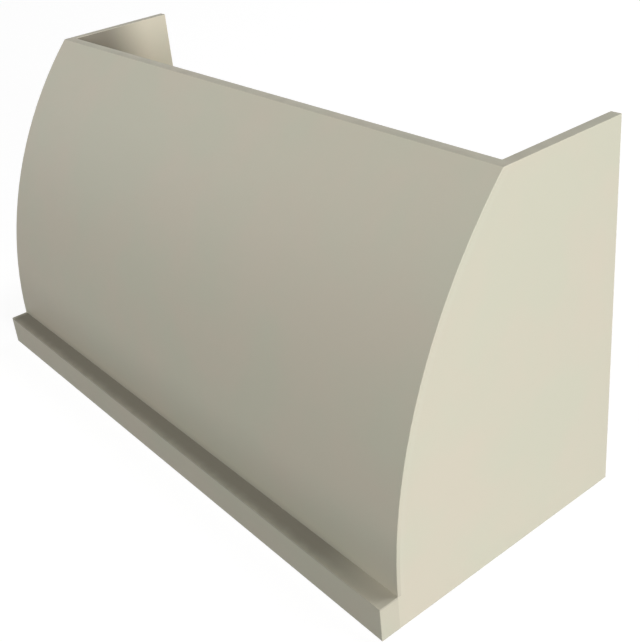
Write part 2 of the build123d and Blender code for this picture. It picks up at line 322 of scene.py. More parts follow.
def end_group(tree, **outputs):
    """Gives a group its outputs: a colour under Color, and values under all other names."""
    for name in outputs:
        kind = "Color" if name == "Color" else "Float"
        tree.tree.interface.new_socket(name, in_out="OUTPUT", socket_type=f"NodeSocket{kind}")
    tree.node("NodeGroupOutput", outputs)


def make_paint_group():
    """Sprayed paint: a slow drift between two near colours, and the fine ripple that a spray gun leaves."""
    tree, vector, given = new_group("sprayed_paint", ["Ripple Depth"], ["Paint", "Drift"])
    drift = tree.ramp(tree.noise(vector, 6.0, 3.0), 0.38, 0.62)
    ripple = tree.noise(vector, 320.0)
    grit = tree.noise(vector, 1900.0, 1.0)
    height = tree.scaled(grit, 0.15, ripple)
    end_group(
        tree,
        Color=tree.mix(drift, given["Paint"], given["Drift"]),
        Roughness=tree.spread(tree.noise(vector, 38.0), PAINT_ROUGHNESS, 0.54),
        Height=tree.times(height, given["Ripple Depth"]),
    )


def make_board_group():
    """Sawn softwood: growth rings about the X axis, warped along it, with fibres and short dark flecks."""
    tree, vector, given = new_group("sawn_board", ["Ring Width"], ["Early Wood", "Late Wood"])
    _, across, up = tree.parts(vector)
    squares = tree.math("ADD", tree.math("POWER", across, 2.0), tree.math("POWER", up, 2.0))
    sway = tree.streaks(vector, 1.3, 11.0, 1.0)
    waver = tree.streaks(vector, 7.0, 60.0)
    wavering = tree.scaled(waver, 2.2 * MILLIMETRE, tree.math("SQRT", squares))
    warped = tree.scaled(sway, 30 * MILLIMETRE, wavering)
    rings = tree.math("DIVIDE", warped, given["Ring Width"])
    place = tree.math("FRACT", rings)
    darkening = tree.ramp(place, 0.35, 0.9, smooth=True)
    return_to_pale = tree.ramp(place, 0.9, 0.99, 1.0, 0.0, smooth=True)
    year = tree.ramp(tree.chance(tree.math("FLOOR", rings)), 0.0, 1.0, 0.45, 1.0)
    late_share = tree.times(darkening, return_to_pale, year)
    fibre = tree.streaks(vector, 22.0, 1300.0, 3.0)
    fleck = tree.ramp(tree.streaks(vector, 70.0, 2200.0, 1.0), 0.66, 0.74, smooth=True)
    cloud = tree.streaks(vector, 1.2, 9.0)
    wood = tree.mix(late_share, given["Early Wood"], given["Late Wood"])
    tone = tree.math("ADD", tree.spread(fibre, 0.93, 1.05), tree.spread(cloud, -0.07, 0.07))
    tone = tree.scaled(fleck, -0.16, tone)
    grey = tree.node("ShaderNodeCombineXYZ", {0: tone, 1: tone, 2: tone}).outputs[0]
    relief = tree.scaled(late_share, 0.03 * MILLIMETRE, tree.times(fibre, 0.06 * MILLIMETRE))
    end_group(
        tree,
        Color=tree.mix(1.0, wood, grey, "MULTIPLY"),
        Roughness=tree.spread(fibre, 0.58, 0.7),
        Height=tree.scaled(fleck, -0.06 * MILLIMETRE, relief),
    )


def make_veneer_group():
    """Rotary-cut birch face: the contour lines of slow noise stretched along X, with fibres along it."""
    tree, vector, given = new_group("birch_veneer", colours=["Pale", "Dark"])
    slow = tree.streaks(vector, 0.9, 5.0, 1.0)
    waver = tree.streaks(vector, 9.0, 90.0)
    contour = tree.math("FRACT", tree.scaled(slow, 26.0, tree.times(waver, 0.5)))
    darkening = tree.ramp(contour, 0.15, 0.85, smooth=True)
    return_to_pale = tree.ramp(contour, 0.86, 0.98, 1.0, 0.0, smooth=True)
    line = tree.times(darkening, return_to_pale)
    fibre = tree.streaks(vector, 18.0, 1100.0, 3.0)
    fleck = tree.ramp(tree.streaks(vector, 120.0, 1500.0, 1.0), 0.67, 0.75, smooth=True)
    share = tree.scaled(line, 0.3, tree.spread(fibre, 0.0, 0.26))
    share = tree.scaled(fleck, 0.4, share, clamp=True)
    end_group(
        tree,
        Color=tree.mix(share, given["Pale"], given["Dark"]),
        Roughness=tree.spread(fibre, 0.5, 0.62),
        Height=tree.times(fibre, 0.04 * MILLIMETRE),
    )


def make_ply_group():
    """The edge of a plywood board: plies across it, every second one end grain, with dark glue lines."""
    tree, vector, given = new_group("ply_edge", ["Depth", "Ply"], ["Long Grain", "End Grain"])
    waver = tree.minus(tree.noise(vector, 22.0), 0.5)
    depth = tree.scaled(waver, 0.4 * MILLIMETRE, given["Depth"])
    plies = tree.math("DIVIDE", depth, given["Ply"])
    number = tree.math("FLOOR", plies)
    second = tree.math("FLOORED_MODULO", number, 2.0)
    from_middle = tree.math("ABSOLUTE", tree.minus(tree.math("FRACT", plies), 0.5))
    glue_line = tree.ramp(from_middle, 0.42, 0.47, smooth=True)
    speckle = tree.noise(vector, 1400.0)
    share = tree.scaled(second, 0.6, tree.times(tree.chance(number), 0.25))
    share = tree.math("ADD", share, tree.spread(speckle, -0.15, 0.2), clamp=True)
    share = tree.math("MAXIMUM", share, glue_line)
    grain = tree.times(speckle, 0.08 * MILLIMETRE)
    end_group(
        tree,
        Color=tree.mix(share, given["Long Grain"], given["End Grain"]),
        Height=tree.scaled(second, -0.05 * MILLIMETRE, grain),
    )


def make_line_group():
    """A hand-cut line: 0 on one side of a distance of nothing and 1 on the other, ragged by noise."""
    tree, vector, given = new_group("ragged_line", ["Distance", "Wander", "Softness"])
    ragged = tree.minus(tree.noise(vector, 90.0, 4.0), 0.5)
    distance = tree.scaled(ragged, given["Wander"], given["Distance"])
    share = tree.math("DIVIDE", distance, given["Softness"])
    end_group(tree, Mask=tree.ramp(share, -0.5, 0.5, smooth=True))


def make_top_shade_group():
    """Painted shade on the top edges: a thin dark layer with thinner patches, and none anywhere lower."""
    tree, vector, given = new_group("top_edge_shade", ["Depth"])
    on_top = tree.math("GREATER_THAN", tree.parts(vector)["Z"], TOP_Z - TOP_SHADE_DROP)
    patches = tree.spread(tree.noise(vector, 30.0, 3.0), 0.8, 1.2)
    end_group(tree, Mask=tree.times(on_top, patches, given["Depth"]))


GROUP_MAKERS = (
    make_paint_group,
    make_board_group,
    make_veneer_group,
    make_ply_group,
    make_line_group,
    make_top_shade_group,
)


def new_material(name):
    """A material, its tree, and the point being shaded in Object coordinates."""
    material = bpy.data.materials.new(name)
    material.use_nodes = True
    material.node_tree.nodes.clear()
    tree = Tree(material.node_tree)
    point = tree.node("ShaderNodeTexCoord").outputs["Object"]
    return material, tree, point


def finish_material(tree, colour, roughness, height, **own):
    """The shader and output of a material, with the bump that its height in metres makes."""
    bump = tree.node("ShaderNodeBump", {"Height": height, "Distance": 1.0, "Strength": 1.0})
    inputs = {"Base Color": colour, "Roughness": roughness, "Normal": bump.outputs[0], **own}
    shader = tree.node("ShaderNodeBsdfPrincipled", inputs)
    tree.node("ShaderNodeOutputMaterial", {"Surface": shader.outputs[0]})


def use_group(tree, name, vector, inputs):
    """Places a shader node group in a material with its own values, and gives its outputs."""
    inputs = {"Vector": vector, **inputs}
    return tree.node("ShaderNodeGroup", inputs, node_tree=bpy.data.node_groups[name]).outputs


def sprayed_paint(tree, point, settings):
    """Paint, as the outputs of its group."""
    return use_group(tree, "sprayed_paint", point, {
        "Paint": settings.colour,
        "Drift": settings.drift_colour,
        "Ripple Depth": settings.ripple_depth,
    })


def birch_veneer(tree, vector, wood):
    """A birch face whose grain runs along the vector's X."""
    return use_group(tree, "birch_veneer", vector, {"Pale": wood.veneer_pale, "Dark": wood.veneer_dark})


def ply_edge(tree, point, depth, wood):
    """The edge of plywood, whose plies are counted from where this depth is 0."""
    return use_group(tree, "ply_edge", point, {
        "Depth": depth,
        "Ply": wood.ply,
        "Long Grain": wood.veneer_pale,
        "End Grain": wood.veneer_dark,
    })


def past_line(tree, point, place, edge, line):
    """0 up to a ragged line that lies a little before an edge, and 1 from there to the edge."""
    before, wander, softness = (MILLIMETRE * size for size in line)
    return use_group(tree, "ragged_line", point, {
        "Distance": tree.minus(place, edge - before),
        "Wander": wander,
        "Softness": softness,
    })["Mask"]


def dress(names, material):
    """Puts one material on these nodes of the frame."""
    for name in names:
        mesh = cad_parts[name].data
        mesh.materials.clear()
        mesh.materials.append(material)


# -------- surfaces


def add_object(name, data):
    """A new object in the scene."""
    holder = bpy.data.objects.new(name, data)
    bpy.context.scene.collection.objects.link(holder)
    return holder


def separate_solids(node):
    """The corner points of each solid in a node: corners that triangles join share the lowest number."""
    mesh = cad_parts[node].data
    points = np.empty(3 * len(mesh.vertices))
    mesh.vertices.foreach_get("co", points)
    corners = np.empty(len(mesh.loops), int)
    mesh.loops.foreach_get("vertex_index", corners)
    places, merged = np.unique(points.reshape(-1, 3).round(6), axis=0, return_inverse=True)
    triangles = merged.ravel()[corners].reshape(-1, 3)
    numbers = np.arange(len(places))
    while True:
        spread = numbers.copy()
        np.minimum.at(spread, triangles, numbers[triangles].min(axis=1, keepdims=True))
        if (spread == numbers).all():
            return [places[numbers == number] for number in np.unique(numbers)]
        numbers = spread


def build_tubes(name, tubes, material, sharp_angle=radians(35)):
    """
    One mesh of closed tubes, from points numbered by tube, row and column: four-sided faces between rows,
    closed around the columns, and at both ends a fan to the mean of the last row.
    """
    count, rows, columns, _ = tubes.shape
    rings = tubes.reshape(count, -1, 3)
    end_middles = tubes[:, [0, -1]].mean(axis=2)
    points = np.concatenate([rings, end_middles], axis=1)
    row, column = np.meshgrid(np.arange(rows - 1), np.arange(columns), indexing="ij")
    after = (column + 1) % columns
    here, ahead = row * columns, (row + 1) * columns
    sides = np.stack([here + column, here + after, ahead + after, ahead + column], axis=-1).reshape(-1, 4)
    around = np.arange(columns)
    onward = (around + 1) % columns
    last = (rows - 1) * columns
    start = np.stack([onward, around, np.full(columns, rows * columns)], axis=-1)
    end = np.stack([last + around, last + onward, np.full(columns, rows * columns + 1)], axis=-1)
    shifts = np.arange(count)[:, None, None] * points.shape[1]
    quads = (sides + shifts).reshape(-1, 4)
    fans = (np.concatenate([start, end]) + shifts).reshape(-1, 3)
    mesh = bpy.data.meshes.new(name)
    mesh.from_pydata(points.reshape(-1, 3).tolist(), [], [*quads.tolist(), *fans.tolist()])
    mesh.shade_smooth()
    mesh.set_sharp_from_angle(angle=sharp_angle)
    mesh.materials.append(material)
    piece = add_object(name, mesh)
    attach(piece, "root")
    return piece


def stand_on_axes(shape, origins, axes):
    """
    Copies of a shape whose own Z lies along each axis from each origin, every copy turned about it by
    another golden angle.
    """
    axes = axes / norm(axes, axis=1, keepdims=True)
    least = np.eye(3)[np.abs(axes).argmin(axis=1)]
    across = np.cross(axes, least)
    across /= norm(across, axis=1, keepdims=True)
    beside = np.cross(axes, across)
    turns = GOLDEN_ANGLE * np.arange(len(axes))[:, None]
    first = across * np.cos(turns) + beside * np.sin(turns)
    second = beside * np.cos(turns) - across * np.sin(turns)
    frames = np.stack([first, second, axes], axis=1)
    return origins[:, None, None] + np.einsum("rci,kij->krcj", shape, frames)


def cross_ring(half_width, half_span):
    """The outline of a cross, in 24 points: the ends, corners and inner corners of its four arms."""
    half_way = (half_width + half_span) / 2
    along = [half_span, half_span, half_way, half_width, half_width, half_width]
    across = [0.0, half_width, half_width, half_width, half_way, half_span]
    quarter = np.column_stack([along, across])
    turns = np.arange(4) * pi / 2
    return np.concatenate([quarter @ [[cos(turn), sin(turn)], [-sin(turn), cos(turn)]] for turn in turns])


def round_ring(radii):
    """Points at these radii around the axis, at even angles."""
    angles = np.arange(len(radii)) * 2 * pi / len(radii)
    return np.stack([radii * np.cos(angles), radii * np.sin(angles)], axis=-1)


def screw_shape(length):
    """
    A countersunk wood screw, head up at the origin: rows from its point up the thread and the plain shank,
    over the head and down into its cross recess. The thread's radius is the core's, plus a ridge that
    rises once for each pitch of height plus the turn about the axis, and both shrink to nothing at the point.
    """
    rings = [(cross_ring(half_width, half_span), z) for half_width, half_span, z in RECESS]
    rings += [(round_ring(np.full(RING_POINTS, radius)), z) for radius, z in HEAD]
    depth = length / MILLIMETRE
    thread_start = PLAIN_SHARE * depth
    rings.append((round_ring(np.full(RING_POINTS, SHANK_RADIUS)), -thread_start))
    turn = np.arange(RING_POINTS) / RING_POINTS
    row_step = THREAD_PITCH / ROWS_PER_PITCH
    for z in np.arange(thread_start + FIRST_ROW_GAP, depth - LAST_ROW_GAP, row_step):
        place = (z / THREAD_PITCH + turn) % 1
        ridge = np.clip(1.0 - np.abs(place - 0.5) / FLANK_SHARE, 0, 1)
        taper = np.clip((depth - z) / POINT_LENGTH, 0, 1)
        run_in = np.clip((z - thread_start) / THREAD_PITCH, 0, 1)
        rings.append((round_ring(taper * (CORE_RADIUS + RIDGE_HEIGHT * ridge * run_in)), -z))
    rows = [np.column_stack([ring, np.full(RING_POINTS, z)]) for ring, z in reversed(rings)]
    return np.array(rows) * MILLIMETRE


def dowel_shape(length):
    """A fluted dowel about the origin: a ripple of shallow flutes around it, and chamfered ends."""
    points = FLUTES * FLUTE_POINTS
    angles = np.arange(points) * 2 * pi / points
    ring = round_ring(DOWEL_RADIUS + FLUTE_DEPTH * np.cos(FLUTES * angles))
    end = length / 2 / MILLIMETRE
    inner = end - CHAMFER
    heights = ((-end, CHAMFERED_SHARE), (-inner, 1.0), (inner, 1.0), (end, CHAMFERED_SHARE))
    rows = [np.column_stack([share * ring, np.full(points, z)]) for z, share in heights]
    return np.array(rows) * MILLIMETRE


def glue_bead(corner, along_first, along_second, phase):
    """
    A bead of glue squeezed out of a joint: at each point of the corner line, a quarter of a circle between
    the two faces. Its radius swells and shrinks as the sum of three waves, and tapers at both ends.
    """
    if np.cross(along_first, along_second)[0] @ (corner[-1] - corner[0]) < 0:
        along_first, along_second = along_second, along_first
    steps = norm(np.diff(corner, axis=0), axis=1)
    distance = np.concatenate([[0.0], np.cumsum(steps)])
    waves = sum(share * np.sin(2 * pi * distance / wave + phase * turn) for share, wave, turn in BEAD_WAVES)
    ends = np.clip(np.minimum(distance, distance[-1] - distance) / BEAD_TAPER, 0, 1) ** 0.5
    radius = BEAD_RADIUS * (1 + waves) * (BEAD_TIP_SHARE + (1 - BEAD_TIP_SHARE) * ends)
    angles = np.linspace(0, pi / 2, BEAD_POINTS)
    first = (radius[:, None] * np.cos(angles))[..., None] * along_first[:, None]
    second = (radius[:, None] * np.sin(angles))[..., None] * along_second[:, None]
    sunk = corner - BEAD_SINK * (along_first + along_second)
    return np.concatenate([sunk[:, None], corner[:, None] + first + second], axis=1)


# -------- settings


class PaintSettings(bpy.types.PropertyGroup):
    """The paint on the shell."""

    colour: FloatVectorProperty(
        name="Paint", description="Colour of the paint", subtype="COLOR", min=0, max=1,
        default=display(222, 215, 196),
    )
    drift_colour: FloatVectorProperty(
        name="Drift", description="Colour that the paint drifts to in places", subtype="COLOR",
        min=0, max=1, default=display(218, 216, 196),
    )
    ripple_depth: FloatProperty(
        name="Ripple depth", description="Depth of the fine ripple that spraying leaves", subtype="DISTANCE",
        unit="LENGTH", precision=6, default=0.012 * MILLIMETRE, min=0,
    )
    # Painted shade on the ledge: how thick it lies
    ledge_shade_depth: FloatProperty(
        name="Settled film", description="How thick the film of dust and grease lies on the ledge",
        subtype="FACTOR", default=0.95, min=0, max=1,
    )
    # Painted shade in the upper front corners inside the side panels: how thick it lies
    corner_shade_depth: FloatProperty(
        name="Steam film", description="How thick the film lies in the upper corners inside the side panels",
        subtype="FACTOR", default=0.93, min=0, max=1,
    )
    # Painted shade on the top edges: how thick it lies
    top_shade_depth: FloatProperty(
        name="Dust", description="How thick dust lies on the top edges", subtype="FACTOR", default=0.36,
        min=0, max=1,
    )
    # How dark all the painted shade is at its thickest, as a share of the paint
    shade_darkness: FloatProperty(
        name="Film shade", description="How dark the thickest film is, as a share of the paint",
        subtype="FACTOR", default=0.33, min=0, max=1,
    )


class WoodSettings(bpy.types.PropertyGroup):
    """The raw wood inside."""

    early_wood: FloatVectorProperty(
        name="Early wood", description="Pale part of each ring in the boards", subtype="COLOR",
        min=0, max=1, default=display(225, 204, 165),
    )
    late_wood: FloatVectorProperty(
        name="Late wood", description="Dark part of each ring in the boards", subtype="COLOR",
        min=0, max=1, default=display(196, 155, 104),
    )
    ring_width: FloatProperty(
        name="Ring width", description="Width of one growth ring", subtype="DISTANCE", unit="LENGTH",
        precision=4, default=4.2 * MILLIMETRE, min=0.5 * MILLIMETRE,
    )
    veneer_pale: FloatVectorProperty(
        name="Pale veneer", description="Ground colour of the birch faces", subtype="COLOR",
        min=0, max=1, default=display(225, 205, 170),
    )
    veneer_dark: FloatVectorProperty(
        name="Dark veneer", description="Figure in the birch faces, and end grain", subtype="COLOR",
        min=0, max=1, default=display(172, 133, 92),
    )
    ply: FloatProperty(
        name="Ply", description="Thickness of one ply in the panels and ribs", subtype="DISTANCE",
        unit="LENGTH", precision=5, default=1.27 * MILLIMETRE, min=0.3 * MILLIMETRE,
    )


class StageSettings(bpy.types.PropertyGroup):
    """The camera, the lamps and the floor."""

    camera_place: FloatVectorProperty(
        name="Camera", description="Where the camera stands", subtype="TRANSLATION", unit="LENGTH",
        default=(1.4193, -0.9138, 1.1312),
    )
    camera_yaw: FloatProperty(
        name="Yaw", description="How far the camera turns left from looking at the wall", subtype="ANGLE",
        unit="ROTATION", default=radians(55.218),
    )
    camera_pitch: FloatProperty(
        name="Pitch", description="How far the camera looks down", subtype="ANGLE", unit="ROTATION",
        default=radians(26.792),
    )
    camera_roll: FloatProperty(
        name="Roll", description="How far the picture turns about the line of sight", subtype="ANGLE",
        unit="ROTATION", default=radians(-6.964),
    )
    focal_pixels: FloatProperty(
        name="Focal length", description="Distance from the lens to the picture, in its pixels",
        subtype="PIXEL", default=1018.0, min=1,
    )
    picture_centre: FloatVectorProperty(
        name="Line of sight", description="Pixel of the picture that the camera points at",
        subtype="COORDINATES", size=2, default=(280.0, 269.4),
    )
    key_level: FloatProperty(
        name="Key level", default=0.77, min=0,
        description="Light from the right lamp on a face square to it; 1 shows a colour as it is",
    )
    front_level: FloatProperty(
        name="Front level", description="Light from the near lamp above the front on a face square to it",
        default=0.163, min=0,
    )
    left_level: FloatProperty(
        name="Left level", description="Light from the left lamp on a face square to it", default=0.25, min=0,
    )
    high_level: FloatProperty(
        name="High level", description="Light from the high lamp on a face square to it", default=0.28, min=0,
    )
    rear_level: FloatProperty(
        name="Rear level", description="Light from the rear lamp on a face square to it", default=0.45, min=0,
    )
    surround_level: FloatProperty(
        name="Surround level", description="Even light from all round", default=0.0, min=0,
    )
    floor_glow: FloatProperty(
        name="Floor glow", description="Share of the floor's whiteness that shadow doesn't touch",
        default=0.9, min=0, max=1,
    )


# -------- pieces


def under_painted_shade(tree, point, settings, colour, painted_shade=0.0):
    """A colour darkened by painted shade: the shade given here, and that on the top edges."""
    # Painted shade on the top edges
    top_shade = use_group(tree, "top_edge_shade", point, {"Depth": settings.top_shade_depth})["Mask"]
    shade = [settings.shade_darkness * part for part in settings.colour]
    # Mixes the colour towards the shade colour where painted shade lies
    return tree.mix(tree.math("MAXIMUM", painted_shade, top_shade), colour, shade)


def painted_ledge_shade(tree, point, depth):
    """
    How much painted shade lies on the ledge and in its corner with the front: it thins out over the ledge,
    reaches less and less up the front, ends just below the ledge's edge and towards its ends, and lies thinly
    over the foot of the front.
    """
    corner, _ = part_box("outer_front_skin")
    x, y, z = tree.parts(point)
    out = tree.math("DIVIDE", tree.minus(corner.y, y), LEDGE_SHADE_REACH_OUT)
    clouds = tree.minus(tree.noise(point, 45.0, 3.0), 0.5)
    clouded = tree.scaled(clouds, LEDGE_SHADE_CLOUDING, out)
    over_ledge = tree.ramp(clouded, LEDGE_SHADE_FULL, 1.0, 1.0, 0.0, smooth=True)
    up = tree.minus(z, corner.z)
    on_front = tree.math("GREATER_THAN", up, LEDGE_SHADE_FRONT_START)
    up_front = tree.math("POWER", tree.ramp(up, 0.0, LEDGE_SHADE_REACH_UP, 1.0, 0.0), LEDGE_SHADE_FALL)
    below_edge = tree.ramp(up, -LEDGE_SHADE_REACH_DOWN, 0.0, smooth=True)
    near = tree.between(on_front, below_edge, tree.times(up_front, LEDGE_SHADE_ON_FRONT))
    right = tree.ramp(x, HALF_WIDTH - LEDGE_SHADE_RIGHT_FADE, HALF_WIDTH, 1.0, LEDGE_SHADE_RIGHT_END, smooth=True)
    left = tree.ramp(x, LEDGE_SHADE_LEFT_FADE - HALF_WIDTH, -HALF_WIDTH, 1.0, LEDGE_SHADE_LEFT_END, smooth=True)
    foot_shade = tree.ramp(up, FOOT_SHADE_FULL, FOOT_SHADE_END, FOOT_SHADE, 0.0, smooth=True)
    return tree.math("MAXIMUM", tree.times(over_ledge, near, depth, right, left), foot_shade)


def painted_corner_shade(tree, point, depth):
    """How much painted shade lies on the inner face of a side panel: most in its upper front corner."""
    _, top_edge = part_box(INNER_SKIN)
    x, y, z = tree.parts(point)
    behind = tree.minus(y, top_edge.y)
    forward = tree.ramp(behind, CORNER_SHADE_START, CORNER_SHADE_END, 1.0, 0.0, smooth=True)
    down = tree.minus(TOP_Z, z)
    high = tree.ramp(down, CORNER_SHADE_FULL, CORNER_SHADE_DROP, 1.0, 0.0, smooth=True)
    inner = tree.math("LESS_THAN", tree.math("ABSOLUTE", x), PANEL_INNER_X + TOUCH)
    return tree.times(forward, high, inner, depth)


class HOOD_OT_paint_shell(bpy.types.Operator):
    """Paints the side panels, the outer skin and the ledge, and leaves the panels' wall edges raw"""

    bl_idname = "hood.paint_shell"
    bl_label = "Paint the Shell"

    def execute(self, context):
        settings = context.scene.hood_paint
        material, tree, point = new_material("painted_front")
        paint = sprayed_paint(tree, point, settings)
        # Painted shade over the ledge and in its corner with the front
        ledge_shade = painted_ledge_shade(tree, point, settings.ledge_shade_depth)
        shaded_colour = under_painted_shade(tree, point, settings, paint["Color"], ledge_shade)
        roughness = tree.scaled(ledge_shade, LEDGE_SHADE_ROUGHENING, paint["Roughness"])
        finish_material(tree, shaded_colour, roughness, paint["Height"], **MATT)
        dress(PAINTED_FRONT, material)

        material, tree, point = new_material("painted_panel")
        paint = sprayed_paint(tree, point, settings)
        x, y, _ = tree.parts(point)
        depth = tree.minus(tree.math("ABSOLUTE", x), PANEL_INNER_X)
        plies = ply_edge(tree, point, depth, context.scene.hood_wood)
        edge = past_line(tree, point, y, WALL_Y, WALL_LINE)
        # Painted shade in the upper front corner inside each side panel
        corner_shade = painted_corner_shade(tree, point, settings.corner_shade_depth)
        shaded_colour = under_painted_shade(tree, point, settings, paint["Color"], corner_shade)
        colour = tree.mix(edge, shaded_colour, plies["Color"])
        roughness = tree.ramp(edge, 0.0, 1.0, PAINT_ROUGHNESS, PLY_ROUGHNESS)
        height = tree.scaled(edge, plies["Height"], paint["Height"])
        finish_material(tree, colour, roughness, height, **MATT)
        dress(PAINTED_PANELS, material)
        return {"FINISHED"}


class HOOD_OT_finish_inner_skin(bpy.types.Operator):
    """Gives the inner skin its bare birch face, with paint along the rim and on the ends"""

    bl_idname = "hood.finish_inner_skin"
    bl_label = "Finish the Inner Skin"

    def execute(self, context):
        settings = context.scene.hood_paint
        material, tree, point = new_material("bare_birch_with_painted_rim")
        paint = sprayed_paint(tree, point, settings)
        face = birch_veneer(tree, point, context.scene.hood_wood)
        x, _, z = tree.parts(point)
        rim = past_line(tree, point, z, TOP_Z, RIM_LINE)
        ends = past_line(tree, point, tree.math("ABSOLUTE", x), HALF_WIDTH, END_LINE)
        painted = tree.math("MAXIMUM", rim, ends)
        colour = tree.mix(painted, face["Color"], paint["Color"])
        roughness = tree.between(painted, face["Roughness"], paint["Roughness"])
        height = tree.between(painted, face["Height"], paint["Height"])
        # The rim's top edge gets painted shade too
        finish_material(tree, under_painted_shade(tree, point, settings, colour), roughness, height)
        dress([INNER_SKIN], material)
        return {"FINISHED"}


def along_grain(tree, point, node, grain, index):
    """Object coordinates turned so that a board's grain runs along X, from a heart of its own beside it."""
    low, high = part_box(node)
    turn = GRAIN_TURNS[grain]
    centre = turn.to_matrix() @ ((low + high) / 2)
    angle = index * HEART_TURN
    distance = HEART_DISTANCE + HEART_STEP * (index % HEART_STEPS)
    heart = Vector((index * HEART_SHIFT, distance * cos(angle), distance * sin(angle)))
    inputs = {"Vector": point, "Location": heart - centre, "Rotation": turn}
    return tree.node("ShaderNodeMapping", inputs).outputs[0]


class HOOD_OT_finish_boards(bpy.types.Operator):
    """Gives each board of the framing its own sawn grain, along its length"""

    bl_idname = "hood.finish_boards"
    bl_label = "Finish the Boards"

    def execute(self, context):
        wood = context.scene.hood_wood
        for index, (node, grain) in enumerate(BOARD_GRAIN.items()):
            material, tree, point = new_material(f"{node}_wood")
            board = use_group(tree, "sawn_board", along_grain(tree, point, node, grain, index), {
                "Ring Width": wood.ring_width,
                "Early Wood": wood.early_wood,
                "Late Wood": wood.late_wood,
            })
            finish_material(tree, *board.values())
            dress([node], material)
        return {"FINISHED"}


class HOOD_OT_finish_ribs(bpy.types.Operator):
    """Makes the ribs plywood: birch faces on both sides, and plies on every edge"""

    bl_idname = "hood.finish_ribs"
    bl_label = "Finish the Ribs"

    def execute(self, context):
        wood = context.scene.hood_wood
        for index, node in enumerate(RIBS):
            low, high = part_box(node)
            material, tree, point = new_material(f"{node}_plywood")
            x = tree.parts(point)["X"]
            plies = ply_edge(tree, point, tree.minus(x, low.x), wood)
            turned = along_grain(tree, point, node, "Z", index + len(BOARD_GRAIN))
            face = birch_veneer(tree, turned, wood)
            from_middle = tree.math("ABSOLUTE", tree.minus(x, (low.x + high.x) / 2))
            half = (high.x - low.x) / 2
            on_face = tree.ramp(from_middle, half - FACE_START, half - FACE_FULL, smooth=True)
            colour = tree.mix(on_face, plies["Color"], face["Color"])
            roughness = tree.ramp(on_face, 0.0, 1.0, PLY_ROUGHNESS, VENEER_ROUGHNESS)
            height = tree.between(on_face, plies["Height"], face["Height"])
            finish_material(tree, colour, roughness, height)
            dress([node], material)
        return {"FINISHED"}


def screw_axes(node):
    """
    The heads and axes of a node's screws. A screw's tip is its point farthest from their mean, its rim the
    points farthest from that tip, and its head the middle of the rim.
    """
    heads, axes = [], []
    for points in separate_solids(node):
        tip = points[norm(points - points.mean(axis=0), axis=1).argmax()]
        reach = norm(points - tip, axis=1)
        head = points[reach > reach.max() - RIM_TOLERANCE].mean(axis=0)
        heads.append(head)
        axes.append(head - tip)
    return np.array(heads), np.array(axes)


class HOOD_OT_make_screws(bpy.types.Operator):
    """Makes the zinc-plated wood screws, with cross recesses, threads and points"""

    bl_idname = "hood.make_screws"
    bl_label = "Make the Screws"

    def execute(self, context):
        material, tree, point = new_material("zinc_plate")
        cloud = tree.noise(point, 900.0, 3.0)
        colour = tree.mix(tree.ramp(cloud, 0.35, 0.65), ZINC_PALE, ZINC_DARK)
        roughness = tree.spread(cloud, 0.26, 0.42)
        height = tree.times(tree.noise(point, 3000.0), 0.01 * MILLIMETRE)
        finish_material(tree, colour, roughness, height, Metallic=1.0)
        for node in SCREWS:
            heads, axes = screw_axes(node)
            shape = screw_shape(norm(axes, axis=1).mean())
            piece = build_tubes(f"{node}_threaded", stand_on_axes(shape, heads, axes), material)
            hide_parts(node)
        return {"FINISHED"}


class HOOD_OT_make_dowels(bpy.types.Operator):
    """Makes the fluted beech dowels"""

    bl_idname = "hood.make_dowels"
    bl_label = "Make the Dowels"

    def execute(self, context):
        material, tree, point = new_material("beech")
        face = birch_veneer(tree, point, context.scene.hood_wood)
        finish_material(tree, *face.values())
        for node in DOWELS:
            solids = separate_solids(node)
            lows = np.array([points.min(axis=0) for points in solids])
            highs = np.array([points.max(axis=0) for points in solids])
            sizes = highs - lows
            shape = dowel_shape(sizes.max())
            axes = np.eye(3)[sizes.argmax(axis=1)]
            piece = build_tubes(f"{node}_fluted", stand_on_axes(shape, (lows + highs) / 2, axes), material)
            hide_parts(node)
        return {"FINISHED"}


def front_arc():
    """
    The middle and radius of the inner skin's inner face. The front starts upright at the foot of the outer
    skin. With that skin's height h, the distance d from its foot back to its inner top edge and its thickness
    t, its radius is (h squared + d squared - t squared) / (2 (d - t)).
    """
    low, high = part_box("outer_front_skin")
    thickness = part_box(INNER_SKIN)[0].y - low.y
    height, lean = high.z - low.z, high.y - low.y
    radius = (height**2 + lean**2 - thickness**2) / (2 * (lean - thickness))
    middle_y = low.y + radius
    return middle_y, low.z, middle_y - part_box("front_glue_blocks")[0].y


def span_on_arc(node, arc):
    """The lowest and highest angle at which a node touches the inner skin."""
    middle_y, middle_z, radius = arc
    points = np.concatenate(separate_solids(node))
    back, up = middle_y - points[:, 1], points[:, 2] - middle_z
    touching = np.hypot(back, up) > radius - TOUCH
    angles = np.arctan2(up, back)[touching]
    return angles.min(), angles.max()


def on_arc(xs, angles, arc):
    """Points on the arc, and there the directions inward to its middle and upward along it."""
    middle_y, middle_z, radius = arc
    xs, angles = np.broadcast_arrays(xs, angles)
    inward = np.stack([0 * xs, np.cos(angles), -np.sin(angles)], axis=-1)
    upward = np.stack([0 * xs, np.sin(angles), np.cos(angles)], axis=-1)
    points = np.stack([xs, 0 * xs + middle_y, 0 * xs + middle_z], axis=-1) - radius * inward
    return points, inward, upward


